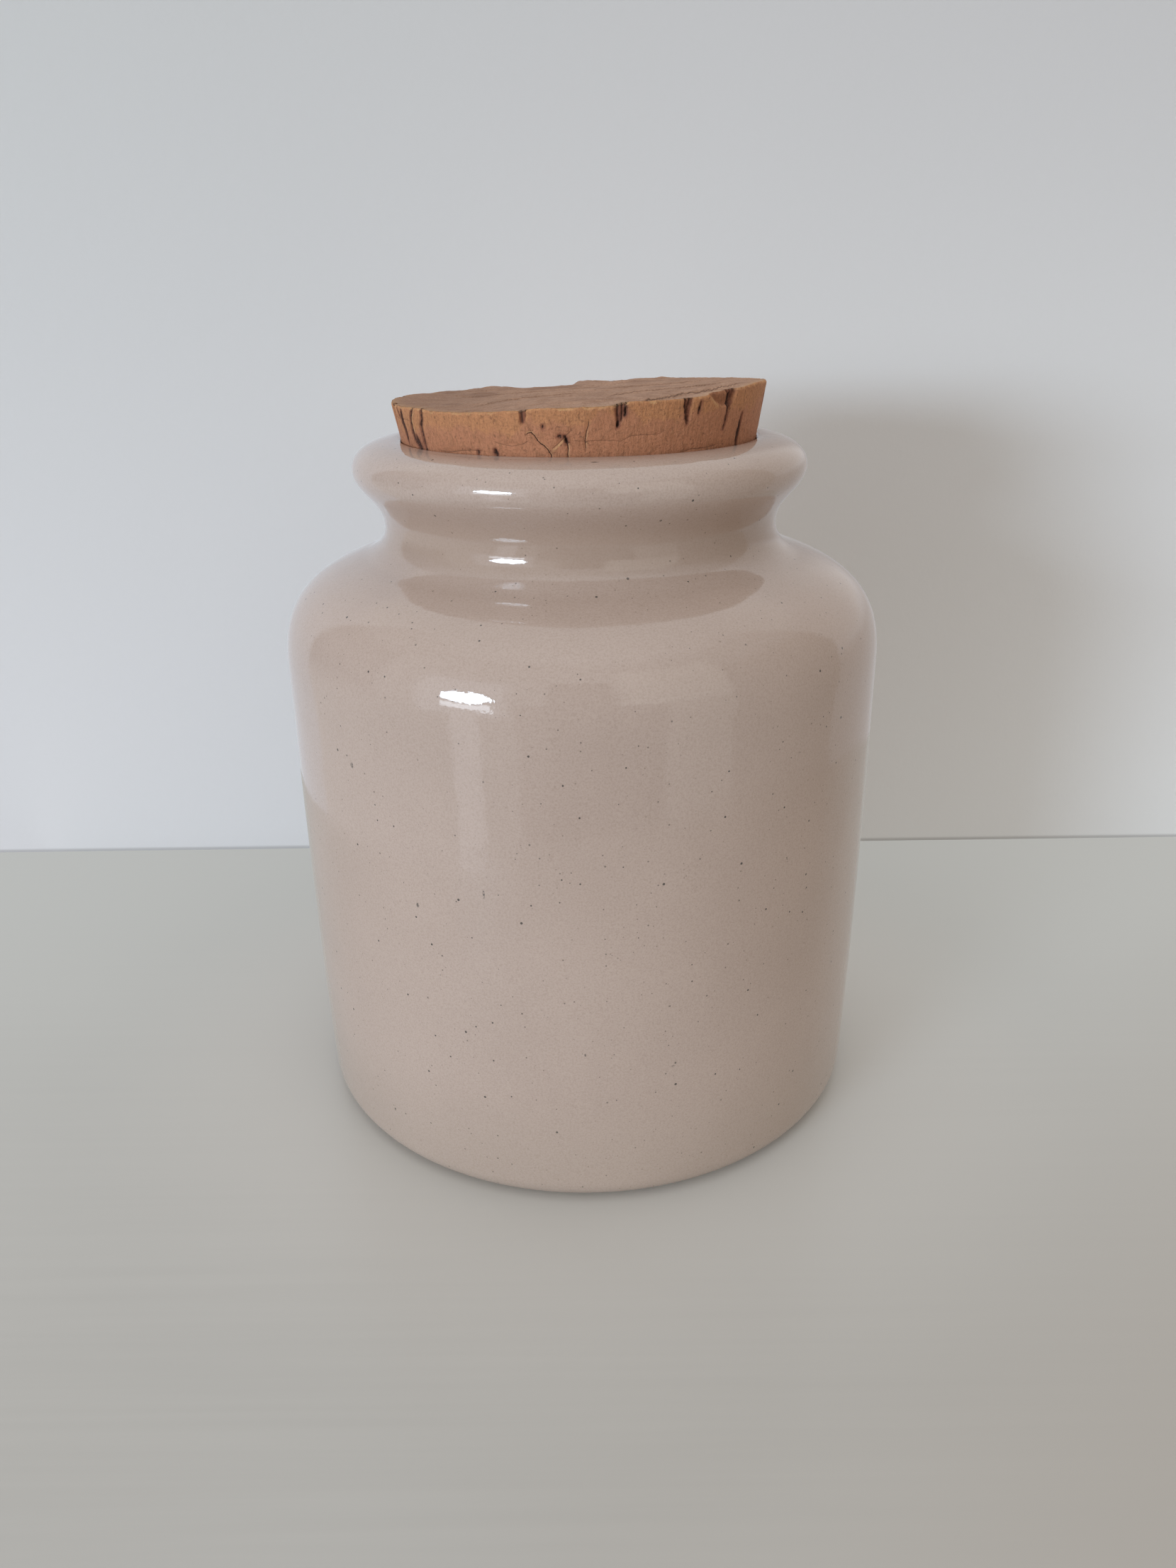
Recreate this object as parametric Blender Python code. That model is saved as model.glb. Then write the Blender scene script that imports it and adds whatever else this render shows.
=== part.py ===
"""A glazed stoneware storage jar with a natural cork stopper.

Metres, +Z up. The origin is the centre of the jar's foot, on the plane that the jar stands on.
The jar is one turned piece. The stopper is one tapered cork, seated slightly askew in the mouth.
"""

import math

import bmesh
import bpy
from mathutils import Matrix, Vector

# Driving dimensions of the jar
RIM_HEIGHT = 0.1200
BODY_RADIUS = 0.0520
RIM_RADIUS = 0.0384
NECK_RADIUS = 0.0336
MOUTH_RADIUS = 0.02975
WALL_THICKNESS = 0.0046

# Heights and radii of the outside, from the foot up
FOOT_FILLET = 0.0043
WALL_FOOT_RADIUS = BODY_RADIUS - 0.0009
SHOULDER_START_HEIGHT = 0.70 * RIM_HEIGHT
SHOULDER_TOP_HEIGHT = 0.841 * RIM_HEIGHT
SHOULDER_TOP_RADIUS = NECK_RADIUS + 0.0042
NECK_HEIGHT = 0.884 * RIM_HEIGHT
RIM_WIDEST_HEIGHT = 0.962 * RIM_HEIGHT
CREST_RADIUS = MOUTH_RADIUS + 0.00085

# The mouth and the inside
LIP_DROP = 0.0013
THROAT_DEPTH = 0.0150
THROAT_TAPER = 0.0006
INNER_RADIUS = WALL_FOOT_RADIUS - WALL_THICKNESS
INNER_SHOULDER_HEIGHT = SHOULDER_START_HEIGHT - 0.0030
INNER_FLOOR_HEIGHT = 0.0068
INNER_FLOOR_FILLET = 0.0085

# The unglazed foot
FOOT_RING_WIDTH = 0.0055
FOOT_RECESS_DEPTH = 0.0012
FOOT_RECESS_SLOPE = 0.0016

# The cork stopper: radii are those of its cone, heights are along its axis from the rim plane
STOPPER_TAPER = 0.19
STOPPER_RADIUS_AT_RIM = MOUTH_RADIUS - 0.00005
STOPPER_RISE = 0.0068
STOPPER_SUNK_DEPTH = 0.0132
STOPPER_TILT = math.radians(1.14)
STOPPER_TOP_SLOPE_X = 0.0226
STOPPER_TOP_SLOPE_Y = -0.0101
STOPPER_TOP_BEVEL = 0.0003
STOPPER_BOTTOM_BEVEL = 0.0009

TURNED_STEPS = 64
MERGE_DISTANCE = 0.00005
SHARP_ANGLE = math.radians(32)


def clear_scene():
    for obj in list(bpy.data.objects):
        bpy.data.objects.remove(obj, do_unlink=True)


def make_material(name, colour, roughness):
    material = bpy.data.materials.new(name)
    material.use_nodes = True
    shader = material.node_tree.nodes["Principled BSDF"]
    shader.inputs["Base Color"].default_value = (*colour, 1.0)
    shader.inputs["Roughness"].default_value = roughness
    shader.inputs["Metallic"].default_value = 0.0
    return material


def bezier(start, start_handle, end_handle, end, count):
    """Points of a cubic curve in (radius, height), without its start."""
    points = []
    for step in range(1, count + 1):
        t = step / count
        s = 1 - t
        weights = (s**3, 3 * s * s * t, 3 * s * t * t, t**3)
        corners = (start, start_handle, end_handle, end)
        radius = sum(w * c[0] for w, c in zip(weights, corners))
        height = sum(w * c[1] for w, c in zip(weights, corners))
        points.append((radius, height))
    return points


def quarter(centre, radii, first_angle, count):
    """Points of a quarter ellipse in (radius, height), turning clockwise, without its start."""
    points = []
    for step in range(1, count + 1):
        angle = math.radians(first_angle - 90 * step / count)
        radius = centre[0] + radii[0] * math.cos(angle)
        height = centre[1] + radii[1] * math.sin(angle)
        points.append((radius, height))
    return points


def inside_profile():
    """From the centre of the inner floor, up the wall and the throat, to the foot of the lip."""
    fillet_start = (INNER_RADIUS - INNER_FLOOR_FILLET, INNER_FLOOR_HEIGHT)
    fillet_end = (INNER_RADIUS, INNER_FLOOR_HEIGHT + INNER_FLOOR_FILLET)
    reach = 0.55 * INNER_FLOOR_FILLET
    points = [(0.0, INNER_FLOOR_HEIGHT), fillet_start]
    points += bezier(
        fillet_start,
        (fillet_start[0] + reach, fillet_start[1]),
        (fillet_end[0], fillet_end[1] - reach),
        fillet_end,
        5,
    )
    shoulder = (INNER_RADIUS + 0.0006, INNER_SHOULDER_HEIGHT)
    throat_radius = MOUTH_RADIUS - THROAT_TAPER
    throat = (throat_radius, RIM_HEIGHT - THROAT_DEPTH)
    rise = throat[1] - shoulder[1]
    points.append(shoulder)
    points += bezier(
        shoulder,
        (shoulder[0], shoulder[1] + 0.72 * rise),
        (throat[0], throat[1] - 0.50 * rise),
        throat,
        9,
    )
    points.append((MOUTH_RADIUS, RIM_HEIGHT - LIP_DROP))
    return points


def lip_profile():
    """From the top of the throat over the inner edge of the lip to its crest."""
    centre = (CREST_RADIUS, RIM_HEIGHT - LIP_DROP)
    radii = (CREST_RADIUS - MOUTH_RADIUS, LIP_DROP)
    return quarter(centre, radii, 180, 4)


def rim_profile():
    """From the crest over the widest part of the rolled rim, down into the neck."""
    crest = (CREST_RADIUS, RIM_HEIGHT)
    widest = (RIM_RADIUS, RIM_WIDEST_HEIGHT)
    neck = (NECK_RADIUS, NECK_HEIGHT)
    out = widest[0] - crest[0]
    drop = crest[1] - widest[1]
    fall = widest[1] - neck[1]
    points = bezier(
        crest,
        (crest[0] + 0.55 * out, crest[1]),
        (widest[0], widest[1] + 0.66 * drop),
        widest,
        8,
    )
    points += bezier(
        widest,
        (widest[0], widest[1] - 0.35 * fall),
        (neck[0], neck[1] + 0.50 * fall),
        neck,
        7,
    )
    return points


def shoulder_profile():
    """From the neck through the hollow at its foot, over the round shoulder, to the wall."""
    neck = (NECK_RADIUS, NECK_HEIGHT)
    junction = (SHOULDER_TOP_RADIUS, SHOULDER_TOP_HEIGHT)
    wall = (BODY_RADIUS, SHOULDER_START_HEIGHT)
    fall = neck[1] - junction[1]
    flare = junction[0] - neck[0]
    width = wall[0] - junction[0]
    height = junction[1] - wall[1]
    points = bezier(
        neck,
        (neck[0], neck[1] - 0.45 * fall),
        (junction[0] - 0.70 * flare, junction[1] + 0.25 * fall),
        junction,
        5,
    )
    points += bezier(
        junction,
        (junction[0] + 0.50 * width, junction[1] - 0.195 * width),
        (wall[0], wall[1] + 0.70 * height),
        wall,
        9,
    )
    return points


def wall_profile():
    """Down the nearly straight wall, which draws in over its lowest part, to the flat of the foot."""
    bottom = (WALL_FOOT_RADIUS, FOOT_FILLET)
    top = (BODY_RADIUS, SHOULDER_START_HEIGHT)
    height = top[1] - bottom[1]
    points = bezier(
        top,
        (top[0], top[1] - 0.45 * height),
        (top[0] - 0.0001, bottom[1] + 0.30 * height),
        bottom,
        5,
    )
    centre = (WALL_FOOT_RADIUS - FOOT_FILLET, FOOT_FILLET)
    points += quarter(centre, (FOOT_FILLET, FOOT_FILLET), 0, 5)
    return points


def foot_profile():
    """Across the foot ring and up into the shallow recess under the jar."""
    ring_outer = WALL_FOOT_RADIUS - FOOT_FILLET
    ring_inner = ring_outer - FOOT_RING_WIDTH
    recess_edge = ring_inner - FOOT_RECESS_SLOPE
    return [
        (ring_inner, 0.0),
        (recess_edge, FOOT_RECESS_DEPTH),
        (0.0, FOOT_RECESS_DEPTH),
    ]


def make_jar(material):
    """The whole jar: its section turned about +Z with a Screw modifier."""
    section = inside_profile()
    section += lip_profile()
    section += rim_profile()
    section += shoulder_profile()
    section += wall_profile()
    section += foot_profile()
    points = [(radius, 0.0, height) for radius, height in section]
    edges = [(i, i + 1) for i in range(len(points) - 1)]
    mesh = bpy.data.meshes.new("jar")
    mesh.from_pydata(points, edges, [])
    mesh.materials.append(material)
    jar = bpy.data.objects.new("jar", mesh)
    bpy.context.scene.collection.objects.link(jar)
    screw = jar.modifiers.new("turned", "SCREW")
    screw.axis = "Z"
    screw.angle = math.tau
    screw.steps = TURNED_STEPS
    screw.render_steps = TURNED_STEPS
    screw.use_merge_vertices = True
    screw.merge_threshold = MERGE_DISTANCE
    screw.use_smooth_shade = True
    return jar


def stopper_radius(height):
    """Radius of the cork's cone at a height along its axis, measured from the rim plane."""
    return STOPPER_RADIUS_AT_RIM + STOPPER_TAPER * height


def bevel_rim(mesh_edit, height_test, width):
    """Bevels the edges between a flat end and the side wherever height_test holds."""
    rim = [
        edge
        for edge in mesh_edit.edges
        if all(height_test(vertex.co.z) for vertex in edge.verts)
        and edge.calc_face_angle(0.0) > math.radians(45)
    ]
    bmesh.ops.bevel(
        mesh_edit,
        geom=rim,
        offset=width,
        segments=2,
        profile=0.5,
        affect="EDGES",
    )


def make_stopper(material):
    """A tapered cork whose top is cut on a slope. Its origin is on the line that it lifts along."""
    spare = 0.0020
    low = -STOPPER_SUNK_DEPTH
    high = STOPPER_RISE + spare
    mesh_edit = bmesh.new()
    bmesh.ops.create_cone(
        mesh_edit,
        cap_ends=True,
        cap_tris=False,
        segments=TURNED_STEPS,
        radius1=stopper_radius(low),
        radius2=stopper_radius(high),
        depth=high - low,
        matrix=Matrix.Translation((0.0, 0.0, (low + high) / 2)),
    )
    cut = bmesh.ops.bisect_plane(
        mesh_edit,
        geom=mesh_edit.verts[:] + mesh_edit.edges[:] + mesh_edit.faces[:],
        plane_co=Vector((0.0, 0.0, STOPPER_RISE)),
        plane_no=Vector((-STOPPER_TOP_SLOPE_X, -STOPPER_TOP_SLOPE_Y, 1.0)).normalized(),
        clear_outer=True,
    )
    cut_edges = [item for item in cut["geom_cut"] if isinstance(item, bmesh.types.BMEdge)]
    bmesh.ops.contextual_create(mesh_edit, geom=cut_edges)
    bmesh.ops.recalc_face_normals(mesh_edit, faces=mesh_edit.faces[:])
    bevel_rim(mesh_edit, lambda z: z > 0, STOPPER_TOP_BEVEL)
    bevel_rim(mesh_edit, lambda z: z < 0, STOPPER_BOTTOM_BEVEL)
    mesh = bpy.data.meshes.new("stopper")
    mesh_edit.to_mesh(mesh)
    mesh_edit.free()
    mesh.shade_smooth()
    mesh.set_sharp_from_angle(angle=SHARP_ANGLE)
    mesh.materials.append(material)
    stopper = bpy.data.objects.new("stopper", mesh)
    bpy.context.scene.collection.objects.link(stopper)
    stopper.location = (0.0, 0.0, RIM_HEIGHT)
    stopper.rotation_euler = (0.0, -STOPPER_TILT, 0.0)
    return stopper


def main():
    clear_scene()
    glaze = make_material("glazed_stoneware", (0.46, 0.34, 0.26), 0.12)
    cork = make_material("cork", (0.36, 0.19, 0.10), 0.85)
    make_jar(glaze)
    make_stopper(cork)


main()
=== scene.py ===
"""Looks of the stoneware jar and its cork stopper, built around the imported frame.

Metres, in the row frame. The jar's axis is +Z and the side seen in front faces -Y.
"""

import math

import bpy
import numpy as np
from mathutils import Matrix, Vector, noise


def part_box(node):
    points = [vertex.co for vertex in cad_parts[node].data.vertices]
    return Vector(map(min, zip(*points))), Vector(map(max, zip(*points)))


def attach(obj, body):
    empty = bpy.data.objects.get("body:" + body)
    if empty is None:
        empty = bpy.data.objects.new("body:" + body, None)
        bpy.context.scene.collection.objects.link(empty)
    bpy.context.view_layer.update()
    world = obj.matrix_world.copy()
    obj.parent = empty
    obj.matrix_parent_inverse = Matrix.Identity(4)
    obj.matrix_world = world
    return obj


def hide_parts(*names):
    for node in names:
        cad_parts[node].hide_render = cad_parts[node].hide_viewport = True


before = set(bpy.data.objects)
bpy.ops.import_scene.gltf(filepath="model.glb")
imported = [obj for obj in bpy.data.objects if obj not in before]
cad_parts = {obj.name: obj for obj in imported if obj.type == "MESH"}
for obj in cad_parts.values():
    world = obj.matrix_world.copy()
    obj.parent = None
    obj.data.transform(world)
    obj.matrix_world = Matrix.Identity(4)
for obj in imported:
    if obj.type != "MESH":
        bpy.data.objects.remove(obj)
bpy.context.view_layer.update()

# ---- sizes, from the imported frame
JAR_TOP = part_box("jar")[1]
RIM_HEIGHT = JAR_TOP.z
BODY_RADIUS = JAR_TOP.x
RIM_RADIUS = 0.7385 * BODY_RADIUS
NECK_RADIUS = 0.6462 * BODY_RADIUS
MOUTH_RADIUS = 0.5721 * BODY_RADIUS
MM = 0.001

# The jar's section, as the CAD part has it
FOOT_FILLET = 4.3 * MM
WALL_FOOT_RADIUS = BODY_RADIUS - 0.9 * MM
SHOULDER_START_HEIGHT = 0.70 * RIM_HEIGHT
SHOULDER_TOP_HEIGHT = 0.841 * RIM_HEIGHT
SHOULDER_TOP_RADIUS = NECK_RADIUS + 4.2 * MM
NECK_HEIGHT = 0.884 * RIM_HEIGHT
RIM_WIDEST_HEIGHT = 0.962 * RIM_HEIGHT
CREST_RADIUS = MOUTH_RADIUS + 0.85 * MM
LIP_DROP = 1.3 * MM
THROAT_DEPTH = 15.0 * MM
THROAT_TAPER = 0.6 * MM
INNER_RADIUS = WALL_FOOT_RADIUS - 4.6 * MM
INNER_SHOULDER_HEIGHT = SHOULDER_START_HEIGHT - 3.0 * MM
INNER_FLOOR_HEIGHT = 6.8 * MM
INNER_FLOOR_FILLET = 8.5 * MM
FOOT_RING_WIDTH = 5.5 * MM
FOOT_RECESS_DEPTH = 1.2 * MM
FOOT_RECESS_SLOPE = 1.6 * MM
JAR_SEGMENTS = 288

# The cork: heights are along its own axis, from the plane of the jar's rim
CORK_TAPER = 0.19
CORK_RADIUS_AT_RIM = MOUTH_RADIUS + 0.10 * MM
CORK_RISE = 6.9 * MM
CORK_SUNK_DEPTH = 13.2 * MM
CORK_TILT = math.radians(1.14)
CORK_TOP_SLOPE_X = 0.0240
CORK_TOP_SLOPE_Y = -0.0101
CORK_FOOT_BEVEL = 0.8 * MM
CORK_SEGMENTS = 896
CORK_HIDDEN_ROWS = 20
CORK_SIDE_ROWS = 41

# ---- camera and light
CAMERA_DISTANCE = 1.731 * RIM_HEIGHT
CAMERA_HEIGHT = 1.181 * RIM_HEIGHT
CAMERA_SIDE = 0.006 * RIM_HEIGHT
CAMERA_PITCH = math.radians(22.51)
CAMERA_ROLL = math.radians(0.76)
CAMERA_LENS = 27.03
SENSOR_LONG_SIDE = 36.0

TABLE_BACK_EDGE = 0.75 * RIM_HEIGHT
TABLE_HALF_WIDTH = 1.5
# The round part of the table that the glaze reflects: how far right its middle is, and its radius
TABLE_MIDDLE = 0.2 * RIM_HEIGHT
TABLE_REACH = 1.6 * RIM_HEIGHT
WALL_HALF_WIDTH = 1.2
WALL_HEIGHT = 1.0
SURROUNDINGS = (0.560, 0.575, 0.585)

WINDOW_AZIMUTH = math.radians(41)
WINDOW_ELEVATION = math.radians(7.5)
WINDOW_DISTANCE = 1.6
WINDOW_AIM_HEIGHT = 0.7 * RIM_HEIGHT
WINDOW_WIDTH = 0.58
WINDOW_HEIGHT = 0.27
WINDOW_POWER = 10.0
WINDOW_COLOUR = (0.82, 1.0, 1.20)

# The room round the jar. Azimuths are in degrees from the camera's side, positive to the right, and
# each stretch is (left, right, low, high, softness of its sides, softness of its top and foot, light).
CEILING_LIGHT = (0.93, 0.93, 0.93)
ROOM = (
    (-185, 185, -95, 38, 4, 6, (0.66, 0.70, 0.76)),
    (90, 185, -95, 2, 4, 4, (0.55, 0.54, 0.54)),
    (90, 185, 2, 38, 4, 6, (0.78, 0.77, 0.77)),
    (-190, -160, -95, 38, 5, 6, (0.62, 0.65, 0.70)),
    (160, 190, -95, 38, 5, 6, (0.46, 0.45, 0.45)),
    (-122, 109, -95, 56, 1.5, 8, (0.62, 0.61, 0.60)),
    (-122, -80, -6, 38, 2.5, 8, (0.20, 0.19, 0.19)),
    (-62, -27, -8, 26, 3, 3, (1.20, 1.24, 1.32)),
    (-52, -32, -3, 1.5, 0.6, 0.6, (5.5, 6.0, 6.6)),
    (-49, -38, -34, -4, 1, 1.5, (1.30, 1.30, 1.36)),
    (14, 56, 4, 44, 3, 3, (1.00, 0.97, 0.91)),
    (-24, 30, -90, 4, 1.5, 1.0, (0.26, 0.24, 0.23)),
    (-13, 12, -90, 32, 2.5, 1.5, (0.12, 0.11, 0.10)),
    (30, 56, -90, 4, 3, 2, (0.70, 0.67, 0.63)),
    (56, 109, -90, 36, 1.0, 6, (0.42, 0.395, 0.37)),
)


def new_object(name, data):
    made = bpy.data.objects.new(name, data)
    bpy.context.scene.collection.objects.link(made)
    return made


def make_camera():
    data = bpy.data.cameras.new("camera")
    data.sensor_width = SENSOR_LONG_SIDE
    data.lens = CAMERA_LENS
    data.clip_start = 0.01
    camera = new_object("camera", data)
    tilt = Matrix.Rotation(math.pi / 2 - CAMERA_PITCH, 4, "X")
    roll = Matrix.Rotation(-CAMERA_ROLL, 4, "Z")
    place = Matrix.Translation((CAMERA_SIDE, -CAMERA_DISTANCE, CAMERA_HEIGHT))
    camera.matrix_world = place @ tilt @ roll
    bpy.context.scene.camera = camera


# ---- node helper
class Nodes:
    """Writes a node tree as short expressions. The methods return output sockets."""

    def __init__(self, tree):
        self.tree = tree
        tree.nodes.clear()

    def add(self, kind, inputs=None, output=0, **settings):
        """A new node. Each input is an output socket to link or a value to set."""
        node = self.tree.nodes.new(kind)
        for name, value in settings.items():
            setattr(node, name, value)
        for name, value in (inputs or {}).items():
            socket = node.inputs[name]
            if isinstance(value, bpy.types.NodeSocket):
                self.tree.links.new(value, socket)
            else:
                socket.default_value = (*value, 1.0) if socket.type == "RGBA" else value
        return node.outputs[output] if node.outputs else None

    def math(self, operation, a, b=0.0, c=0.0):
        return self.add("ShaderNodeMath", {0: a, 1: b, 2: c}, operation=operation)

    def times(self, first, *others):
        for other in others:
            first = self.math("MULTIPLY", first, other)
        return first

    def ramp(self, value, low, high, to_low=0.0, to_high=1.0):
        """value from low..high to to_low..to_high, smooth at both ends."""
        inputs = {0: value, 1: low, 2: high, 3: to_low, 4: to_high}
        return self.add("ShaderNodeMapRange", inputs, interpolation_type="SMOOTHSTEP")

    def band(self, value, low, high, softness):
        """1 between low and high, 0 outside, and smooth across each end."""
        return self.times(
            self.ramp(value, low - softness, low + softness),
            self.ramp(value, high - softness, high + softness, 1.0, 0.0),
        )

    def mix(self, factor, a, b):
        inputs = {0: factor, 6: a, 7: b}
        return self.add("ShaderNodeMix", inputs, output=2, data_type="RGBA")

    def over(self, colour, *layers):
        """A colour with others laid over it in turn, each as (how much of it, colour)."""
        for share, layer in layers:
            colour = self.mix(share, colour, layer)
        return colour

    def noise(self, vector, scale, detail=2.0, roughness=0.5):
        inputs = {"Vector": vector, "Scale": scale, "Detail": detail, "Roughness": roughness}
        return self.add("ShaderNodeTexNoise", inputs)

    def stretched(self, vector, x, y, z):
        return self.add("ShaderNodeMapping", {"Vector": vector, "Scale": (x, y, z)})

    def moved(self, vector, x, y, z):
        return self.add("ShaderNodeMapping", {"Vector": vector, "Location": (x, y, z)})

    def place(self):
        return self.add("ShaderNodeTexCoord", output="Object")

    def xyz(self, vector):
        """The three parts of a vector."""
        return self.add("ShaderNodeSeparateXYZ", {0: vector}).node.outputs

    def off_axis(self, vector):
        """Distance from the upright line through the origin."""
        flat = self.stretched(vector, 1.0, 1.0, 0.0)
        return self.add("ShaderNodeVectorMath", {0: flat}, output="Value", operation="LENGTH")

    def attribute(self, name):
        return self.add("ShaderNodeAttribute", output="Fac", attribute_name=name)

    def surface(self, colour, roughness, waves, strength, more):
        """A shader whose relief is the sum of waves, each as (0 to 1 over the surface, metres)."""
        height = 0.0
        for wave, metres in waves:
            height = self.math("MULTIPLY_ADD", wave, metres, height)
        relief = {"Height": height, "Strength": strength, "Distance": 1.0}
        normal = self.add("ShaderNodeBump", relief)
        inputs = {"Base Color": colour, "Roughness": roughness, "Normal": normal, **more}
        return self.add("ShaderNodeBsdfPrincipled", inputs)

    def close(self, shader, clearness=None):
        """Ends the material in its shader, which is clear where clearness is 1."""
        if clearness is not None:
            clear = self.add("ShaderNodeBsdfTransparent")
            shader = self.add("ShaderNodeMixShader", {0: clearness, 1: shader, 2: clear})
        self.add("ShaderNodeOutputMaterial", {"Surface": shader})


def new_material(name):
    material = bpy.data.materials.new(name)
    material.use_nodes = True
    return material, Nodes(material.node_tree)


# ---- curves and noise
def bezier(start, end, leaving, arriving, count):
    """Points of a cubic curve in (radius, height), without its start.

    leaving and arriving say how far each end's handle reaches, as shares of the way between them.
    """
    t = np.arange(1, count + 1)[:, None] / count
    s = 1 - t
    start, end = np.array(start), np.array(end)
    first = start + np.array(leaving) * (end - start)
    second = end - np.array(arriving) * (end - start)
    return s**3 * start + 3 * s * s * t * first + 3 * s * t * t * second + t**3 * end


def quarter(centre, radii, first_angle, count):
    """Points of a quarter ellipse in (radius, height), turning clockwise, without its start."""
    angle = np.radians(first_angle - 90 * np.arange(1, count + 1) / count)
    return np.array(centre) + np.array(radii) * np.stack([np.cos(angle), np.sin(angle)], axis=1)


def straight(start, end, count):
    """Points of a straight stretch, without its start."""
    t = np.arange(1, count + 1)[:, None] / count
    return (1 - t) * np.array(start) + t * np.array(end)


def fractal(points, scale, octaves=3, seed=0.0):
    """Smooth noise of about -1 to 1 at each row of points, for features about 1 / scale across."""
    shift = Vector((seed, 0.37 * seed, -0.61 * seed))
    return np.array(
        [noise.fractal(Vector(point) * scale + shift, 0.9, 2.1, octaves) for point in points]
    )


def level_points(x, y):
    return np.stack([x, y, np.zeros_like(x)], axis=-1)


def smooth(value, low, high):
    """0 below low, 1 above high, and a smooth step between."""
    t = np.clip((value - low) / (high - low), 0, 1)
    return t * t * (3 - 2 * t)


# ---- closed turned meshes
def strip(low, low_count, high, high_count):
    """Faces between two rings, the higher with as many points, half as many or twice as many."""
    step = np.arange(min(low_count, high_count))
    onward = (step + 1) % len(step)
    if low_count == high_count:
        return np.stack([low + step, low + onward, high + onward, high + step], 1).tolist()
    narrowing = low_count > high_count
    fine, coarse = (low, high) if narrowing else (high, low)
    middle, left, right = fine + 2 * step + 1, coarse + step, coarse + onward
    corners = [middle - 1, middle, left, middle, right, left, middle, fine + 2 * onward, right]
    faces = np.stack(corners, 1).reshape(-1, 3)
    return (faces if narrowing else faces[:, ::-1]).tolist()


def closed_rings(name, rings, attributes=None):
    """A closed body from rings of points, each anticlockwise seen from above.

    They run from the middle of the underside, up the outside, to the middle of the top. The
    attributes have one value for each point.
    """
    points = np.vstack(rings)
    starts = np.cumsum([0] + [len(ring) for ring in rings])
    faces = []
    for row in range(len(rings) - 1):
        faces += strip(starts[row], len(rings[row]), starts[row + 1], len(rings[row + 1]))
    bottom, top = len(points), len(points) + 1
    first, last = np.arange(len(rings[0])), starts[-2] + np.arange(len(rings[-1]))
    faces += np.stack([np.full_like(first, bottom), np.roll(first, -1), first], 1).tolist()
    faces += np.stack([np.full_like(last, top), last, np.roll(last, -1)], 1).tolist()
    points = np.vstack([points, rings[0].mean(0), rings[-1].mean(0)])
    mesh = bpy.data.meshes.new(name)
    mesh.from_pydata(points.tolist(), [], faces)
    for key, values in (attributes or {}).items():
        ends = [values[first].mean(), values[last].mean()]
        layer = mesh.attributes.new(key, "FLOAT", "POINT")
        layer.data.foreach_set("value", np.append(values, ends).astype(np.float32))
    mesh.shade_smooth()
    return new_object(name, mesh)


# ---- the jar
def outside_section():
    """From the centre of the underside, up the outside, to the crest of the rim."""
    ring_outer = WALL_FOOT_RADIUS - FOOT_FILLET
    ring_inner = ring_outer - FOOT_RING_WIDTH
    recess_edge = (ring_inner - FOOT_RECESS_SLOPE, FOOT_RECESS_DEPTH)
    centre = (0.0, FOOT_RECESS_DEPTH)
    wall_foot = (WALL_FOOT_RADIUS, FOOT_FILLET)
    wall_top = (BODY_RADIUS, SHOULDER_START_HEIGHT)
    junction = (SHOULDER_TOP_RADIUS, SHOULDER_TOP_HEIGHT)
    neck = (NECK_RADIUS, NECK_HEIGHT)
    widest = (RIM_RADIUS, RIM_WIDEST_HEIGHT)
    crest = (CREST_RADIUS, RIM_HEIGHT)
    width_by_rise = (wall_top[0] - junction[0]) / (junction[1] - wall_top[1])
    return [
        [centre],
        straight(centre, recess_edge, 22),
        bezier(recess_edge, (ring_inner, 0.0), (0.5, 0.0), (0.4, 0.0), 8),
        straight((ring_inner, 0.0), (ring_outer - 0.2 * MM, 0.0), 8),
        quarter((ring_outer, FOOT_FILLET), (FOOT_FILLET, FOOT_FILLET), 0, 16)[::-1],
        [wall_foot],
        bezier(wall_foot, wall_top, (8 / 9, 0.30), (0.0, 0.45), 64),
        bezier(wall_top, junction, (0.0, 0.70), (0.50, 0.195 * width_by_rise), 34),
        bezier(junction, neck, (0.70, 0.25), (0.0, 0.45), 14),
        bezier(neck, widest, (0.0, 0.50), (0.0, 0.35), 22),
        bezier(widest, crest, (0.0, 0.66), (0.55, 0.0), 20),
    ]


def inside_section():
    """From the crest over the lip, down the throat and the inner wall, to the centre of the floor."""
    lip_radii = (CREST_RADIUS - MOUTH_RADIUS, LIP_DROP)
    lip = quarter((CREST_RADIUS, RIM_HEIGHT - LIP_DROP), lip_radii, 180, 8)
    throat_top = (MOUTH_RADIUS, RIM_HEIGHT - LIP_DROP)
    throat = (MOUTH_RADIUS - THROAT_TAPER, RIM_HEIGHT - THROAT_DEPTH)
    shoulder = (INNER_RADIUS + 0.6 * MM, INNER_SHOULDER_HEIGHT)
    fillet_top = (INNER_RADIUS, INNER_FLOOR_HEIGHT + INNER_FLOOR_FILLET)
    fillet_end = (INNER_RADIUS - INNER_FLOOR_FILLET, INNER_FLOOR_HEIGHT)
    return [
        lip[::-1][1:],
        [throat_top],
        straight(throat_top, throat, 12),
        bezier(throat, shoulder, (0.0, 0.50), (0.0, 0.72), 26),
        straight(shoulder, fillet_top, 24),
        bezier(fillet_top, fillet_end, (0.0, 0.55), (0.55, 0.0), 10),
        straight(fillet_end, (0.0, INNER_FLOOR_HEIGHT), 14),
    ]


def section_normals(section):
    along = np.gradient(section, axis=0)
    normal = np.stack([along[:, 1], -along[:, 0]], axis=1)
    return normal / np.linalg.norm(normal, axis=1)[:, None]


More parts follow.
